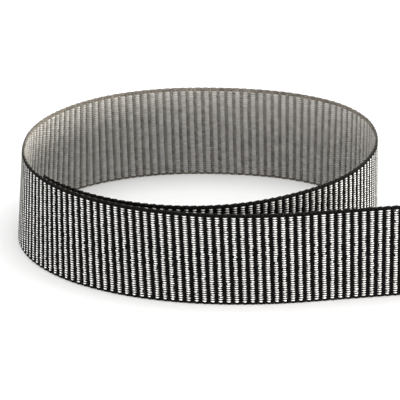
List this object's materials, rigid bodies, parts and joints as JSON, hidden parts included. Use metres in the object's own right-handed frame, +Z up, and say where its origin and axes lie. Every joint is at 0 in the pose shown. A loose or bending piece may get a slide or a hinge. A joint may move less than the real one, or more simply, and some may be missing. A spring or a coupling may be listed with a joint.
{
  "type": "ribbed woven ribbon",
  "caption": "Length of ribbed woven ribbon with silver and black ribs, standing on its edge in one wrist-size loop with a free tail; it uncurls, and both ends swing.",
  "frame": {"origin": "under the middle of the whole part, on the surface that the lower selvedge stands on", "axes": "+X from the loop towards the free tail's end, +Y towards the back of the loop, +Z up across the ribbon's width"},
  "size_m": [0.0762, 0.056, 0.016],
  "materials": {
    "ribbed_web": "woven ribs, silver-white and black in turn, soft yarn sheen",
    "selvedge": "flat black woven edge",
    "sealed_edge": "melted black edge of the cut, slightly shiny"
  },
  "bodies": {
    "length_01": {"web_01": "ribbed_web", "lower_selvedge_01": "selvedge", "upper_selvedge_01": "selvedge", "inner_sealed_end": "sealed_edge"},
    "length_02": {"web_02": "ribbed_web", "lower_selvedge_02": "selvedge", "upper_selvedge_02": "selvedge"},
    "length_03": {"web_03": "ribbed_web", "lower_selvedge_03": "selvedge", "upper_selvedge_03": "selvedge"},
    "length_04": {"web_04": "ribbed_web", "lower_selvedge_04": "selvedge", "upper_selvedge_04": "selvedge"},
    "length_05": {"web_05": "ribbed_web", "lower_selvedge_05": "selvedge", "upper_selvedge_05": "selvedge"},
    "length_06": {"web_06": "ribbed_web", "lower_selvedge_06": "selvedge", "upper_selvedge_06": "selvedge"},
    "length_07": {"web_07": "ribbed_web", "lower_selvedge_07": "selvedge", "upper_selvedge_07": "selvedge"},
    "length_08": {"web_08": "ribbed_web", "lower_selvedge_08": "selvedge", "upper_selvedge_08": "selvedge"},
    "length_09": {"web_09": "ribbed_web", "lower_selvedge_09": "selvedge", "upper_selvedge_09": "selvedge"},
    "length_10": {"web_10": "ribbed_web", "lower_selvedge_10": "selvedge", "upper_selvedge_10": "selvedge"},
    "length_11": {"web_11": "ribbed_web", "lower_selvedge_11": "selvedge", "upper_selvedge_11": "selvedge"},
    "length_12": {"web_12": "ribbed_web", "lower_selvedge_12": "selvedge", "upper_selvedge_12": "selvedge"},
    "length_13": {"web_13": "ribbed_web", "lower_selvedge_13": "selvedge", "upper_selvedge_13": "selvedge"},
    "length_14": {"web_14": "ribbed_web", "lower_selvedge_14": "selvedge", "upper_selvedge_14": "selvedge"},
    "length_15": {"web_15": "ribbed_web", "lower_selvedge_15": "selvedge", "upper_selvedge_15": "selvedge"},
    "length_16": {"web_16": "ribbed_web", "lower_selvedge_16": "selvedge", "upper_selvedge_16": "selvedge"},
    "length_17": {"web_17": "ribbed_web", "lower_selvedge_17": "selvedge", "upper_selvedge_17": "selvedge"},
    "length_18": {"web_18": "ribbed_web", "lower_selvedge_18": "selvedge", "upper_selvedge_18": "selvedge"},
    "length_19": {"web_19": "ribbed_web", "lower_selvedge_19": "selvedge", "upper_selvedge_19": "selvedge", "outer_sealed_end": "sealed_edge"}
  },
  "joints": [
    {"name": "loop_uncurl", "type": "hinge", "parent": "length_10", "child": "length_11", "pos_m": [-0.02287, 0.02432, 0.008], "axis": [0, 0, -1], "range_deg": [0, 25.5], "stiffness_Nm_per_rad": 0.00004},
    {"name": "uncurl_11_12", "type": "hinge", "parent": "length_11", "child": "length_12", "pos_m": [-0.03296, 0.01586, 0.008], "axis": [0, 0, -1], "range_deg": [0, 29], "stiffness_Nm_per_rad": 0.00004},
    {"name": "uncurl_12_13", "type": "hinge", "parent": "length_12", "child": "length_13", "pos_m": [-0.03767, 0.00358, 0.008], "axis": [0, 0, -1], "range_deg": [0, 30.5], "stiffness_Nm_per_rad": 0.00004},
    {"name": "uncurl_13_14", "type": "hinge", "parent": "length_13", "child": "length_14", "pos_m": [-0.03551, -0.00937, 0.008], "axis": [0, 0, -1], "range_deg": [0, 29.5], "stiffness_Nm_per_rad": 0.00004},
    {"name": "uncurl_14_15", "type": "hinge", "parent": "length_14", "child": "length_15", "pos_m": [-0.02722, -0.01961, 0.008], "axis": [0, 0, -1], "range_deg": [0, 24], "stiffness_Nm_per_rad": 0.00004},
    {"name": "uncurl_15_16", "type": "hinge", "parent": "length_15", "child": "length_16", "pos_m": [-0.01543, -0.02562, 0.008], "axis": [0, 0, -1], "range_deg": [0, 18], "stiffness_Nm_per_rad": 0.00004},
    {"name": "uncurl_09_10", "type": "hinge", "parent": "length_10", "child": "length_09", "pos_m": [-0.01009, 0.02763, 0.008], "axis": [0, 0, 1], "range_deg": [0, 19], "stiffness_Nm_per_rad": 0.00004},
    {"name": "uncurl_08_09", "type": "hinge", "parent": "length_09", "child": "length_08", "pos_m": [0.00314, 0.02659, 0.008], "axis": [0, 0, 1], "range_deg": [0, 20.5], "stiffness_Nm_per_rad": 0.00004},
    {"name": "uncurl_07_08", "type": "hinge", "parent": "length_08", "child": "length_07", "pos_m": [0.01509, 0.02102, 0.008], "axis": [0, 0, 1], "range_deg": [0, 33.5], "stiffness_Nm_per_rad": 0.00004},
    {"name": "uncurl_06_07", "type": "hinge", "parent": "length_07", "child": "length_06", "pos_m": [0.02189, 0.00992, 0.008], "axis": [0, 0, 1], "range_deg": [0, 36], "stiffness_Nm_per_rad": 0.00004},
    {"name": "uncurl_05_06", "type": "hinge", "parent": "length_06", "child": "length_05", "pos_m": [0.02086, -0.00318, 0.008], "axis": [0, 0, 1], "range_deg": [0, 28.5], "stiffness_Nm_per_rad": 0.00004},
    {"name": "uncurl_04_05", "type": "hinge", "parent": "length_05", "child": "length_04", "pos_m": [0.01368, -0.01424, 0.008], "axis": [0, 0, 1], "range_deg": [0, 23], "stiffness_Nm_per_rad": 0.00004},
    {"name": "uncurl_03_04", "type": "hinge", "parent": "length_04", "child": "length_03", "pos_m": [0.00271, -0.02164, 0.008], "axis": [0, 0, 1], "range_deg": [0, 23.5], "stiffness_Nm_per_rad": 0.00004},
    {"name": "tail_swing", "type": "hinge", "parent": "length_16", "child": "length_17", "pos_m": [-0.00233, -0.02769, 0.008], "axis": [0, 0, -1], "range_deg": [-5, 25], "stiffness_Nm_per_rad": 0.00004},
    {"name": "tail_swing_17_18", "type": "hinge", "parent": "length_17", "child": "length_18", "pos_m": [0.01089, -0.02653, 0.008], "axis": [0, 0, -1], "range_deg": [-5, 25], "stiffness_Nm_per_rad": 0.00004},
    {"name": "tail_swing_18_19", "type": "hinge", "parent": "length_18", "child": "length_19", "pos_m": [0.02397, -0.02411, 0.008], "axis": [0, 0, -1], "range_deg": [-5, 25], "stiffness_Nm_per_rad": 0.00004},
    {"name": "inner_end_swing", "type": "hinge", "parent": "length_03", "child": "length_02", "pos_m": [-0.01025, -0.02404, 0.008], "axis": [0, 0, -1], "range_deg": [0, 25], "stiffness_Nm_per_rad": 0.00004},
    {"name": "inner_end_swing_01_02", "type": "hinge", "parent": "length_02", "child": "length_01", "pos_m": [-0.02293, -0.0204, 0.008], "axis": [0, 0, -1], "range_deg": [0, 25], "stiffness_Nm_per_rad": 0.00004}
  ],
  "couplings": [
    {"joint": "uncurl_11_12", "follows": "loop_uncurl", "ratio": 1.1373},
    {"joint": "uncurl_12_13", "follows": "loop_uncurl", "ratio": 1.1961},
    {"joint": "uncurl_13_14", "follows": "loop_uncurl", "ratio": 1.1569},
    {"joint": "uncurl_14_15", "follows": "loop_uncurl", "ratio": 0.94118},
    {"joint": "uncurl_15_16", "follows": "loop_uncurl", "ratio": 0.70588},
    {"joint": "uncurl_09_10", "follows": "loop_uncurl", "ratio": 0.7451},
    {"joint": "uncurl_08_09", "follows": "loop_uncurl", "ratio": 0.80392},
    {"joint": "uncurl_07_08", "follows": "loop_uncurl", "ratio": 1.3137},
    {"joint": "uncurl_06_07", "follows": "loop_uncurl", "ratio": 1.4118},
    {"joint": "uncurl_05_06", "follows": "loop_uncurl", "ratio": 1.1176},
    {"joint": "uncurl_04_05", "follows": "loop_uncurl", "ratio": 0.90196},
    {"joint": "uncurl_03_04", "follows": "loop_uncurl", "ratio": 0.92157},
    {"joint": "tail_swing_17_18", "follows": "tail_swing", "ratio": 1},
    {"joint": "tail_swing_18_19", "follows": "tail_swing", "ratio": 1},
    {"joint": "inner_end_swing_01_02", "follows": "inner_end_swing", "ratio": 1}
  ]
}
